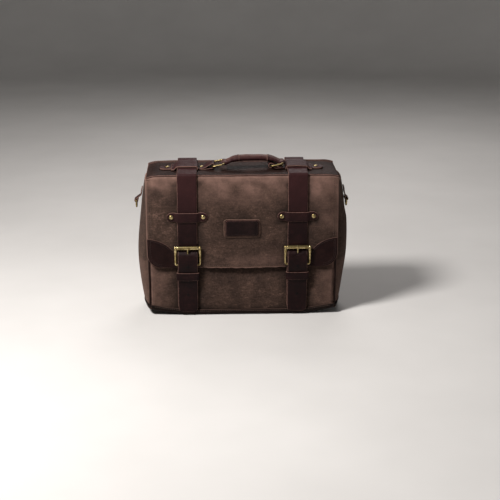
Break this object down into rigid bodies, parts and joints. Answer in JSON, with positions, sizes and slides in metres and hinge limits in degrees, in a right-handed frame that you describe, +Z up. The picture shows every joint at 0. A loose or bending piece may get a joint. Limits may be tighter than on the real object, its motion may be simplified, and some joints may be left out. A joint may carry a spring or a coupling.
{
  "type": "saddle bag",
  "caption": "Suede satchel saddle bag with a hinged lid and fold-over flap, leather buckle straps, brass fittings, a top handle on links and side rings.",
  "frame": {"origin": "middle of the bag's box, on the surface it stands on", "axes": "+Z up, front flap faces -Y, +X to the right seen from the front"},
  "size_m": [0.4442, 0.1558, 0.3292],
  "materials": {
    "suede": "mottled brown suede",
    "band_leather": "smooth dark brown leather, satin",
    "strap_leather": "dark burgundy bridle leather, satin, lighter cut edges",
    "lining": "plain cotton twill",
    "brass": "antique brass, worn bright on the edges"
  },
  "bodies": {
    "bag_body": {"front_panel": "suede", "back_panel": "suede", "gusset_left": "suede", "gusset_right": "suede", "bottom_panel": "band_leather", "base_board": "lining", "lining": "lining", "front_piping_left": "band_leather", "front_piping_right": "band_leather", "lower_strip_left": "strap_leather", "lower_strip_right": "strap_leather", "snap_post_left": "brass", "snap_post_right": "brass", "strap_back_left": "strap_leather", "strap_back_right": "strap_leather", "rear_loop_left": "strap_leather", "rear_loop_right": "strap_leather", "side_tab_left": "strap_leather", "side_tab_right": "strap_leather"},
    "lid": {"lid_panel": "band_leather", "strap_top_left": "strap_leather", "strap_top_right": "strap_leather", "strap_bridge_left": "strap_leather", "strap_bridge_right": "strap_leather", "handle_tab_left": "strap_leather", "handle_tab_right": "strap_leather", "tab_rivet_left_outer": "brass", "tab_rivet_left_inner": "brass", "tab_rivet_right_outer": "brass", "tab_rivet_right_inner": "brass"},
    "flap": {"flap_panel": "suede", "corner_patch_left": "band_leather", "corner_patch_right": "band_leather", "label_patch": "strap_leather", "strap_front_left": "strap_leather", "strap_front_right": "strap_leather", "flap_keeper_left": "strap_leather", "flap_keeper_right": "strap_leather", "keeper_rivet_left_inner": "brass", "keeper_rivet_left_outer": "brass", "keeper_rivet_right_inner": "brass", "keeper_rivet_right_outer": "brass", "buckle_frame_left": "brass", "buckle_frame_right": "brass", "buckle_prong_left": "brass", "buckle_prong_right": "brass", "buckle_chape_left": "band_leather", "buckle_chape_right": "band_leather", "snap_socket_left": "brass", "snap_socket_right": "brass", "lower_keeper_left": "strap_leather", "lower_keeper_right": "strap_leather"},
    "left_link": {"handle_ring_left": "brass"},
    "handle": {"handle_grip": "strap_leather"},
    "right_link": {"handle_ring_right": "brass"},
    "left_side_ring": {"side_ring_left": "brass"},
    "right_side_ring": {"side_ring_right": "brass"}
  },
  "joints": [
    {"name": "lid_hinge", "type": "hinge", "parent": "bag_body", "child": "lid", "pos_m": [0, 0.0635, 0.297], "axis": [-1, 0, 0], "range_deg": [0, 100]},
    {"name": "flap_fold", "type": "hinge", "parent": "lid", "child": "flap", "pos_m": [0, -0.06, 0.297], "axis": [-1, 0, 0], "range_deg": [0, 90]},
    {"name": "left_link_hinge", "type": "hinge", "parent": "lid", "child": "left_link", "pos_m": [-0.06, 0, 0.307], "axis": [0, -1, 0], "range_deg": [0, 156]},
    {"name": "handle_hinge", "type": "hinge", "parent": "left_link", "child": "handle", "pos_m": [-0.03652, 0, 0.31199], "axis": [0, -1, 0], "range_deg": [-156, 0]},
    {"name": "right_link_hinge", "type": "hinge", "parent": "lid", "child": "right_link", "pos_m": [0.06, 0, 0.307], "axis": [0, -1, 0], "range_deg": [0, 156]},
    {"name": "left_side_ring_hinge", "type": "hinge", "parent": "bag_body", "child": "left_side_ring", "pos_m": [-0.21766, 0, 0.234], "axis": [0, 1, 0], "range_deg": [0, 120]},
    {"name": "right_side_ring_hinge", "type": "hinge", "parent": "bag_body", "child": "right_side_ring", "pos_m": [0.21766, 0, 0.234], "axis": [0, -1, 0], "range_deg": [0, 120]}
  ],
  "couplings": [
    {"joint": "handle_hinge", "follows": "left_link_hinge", "ratio": -1},
    {"joint": "right_link_hinge", "follows": "left_link_hinge", "ratio": 1}
  ]
}
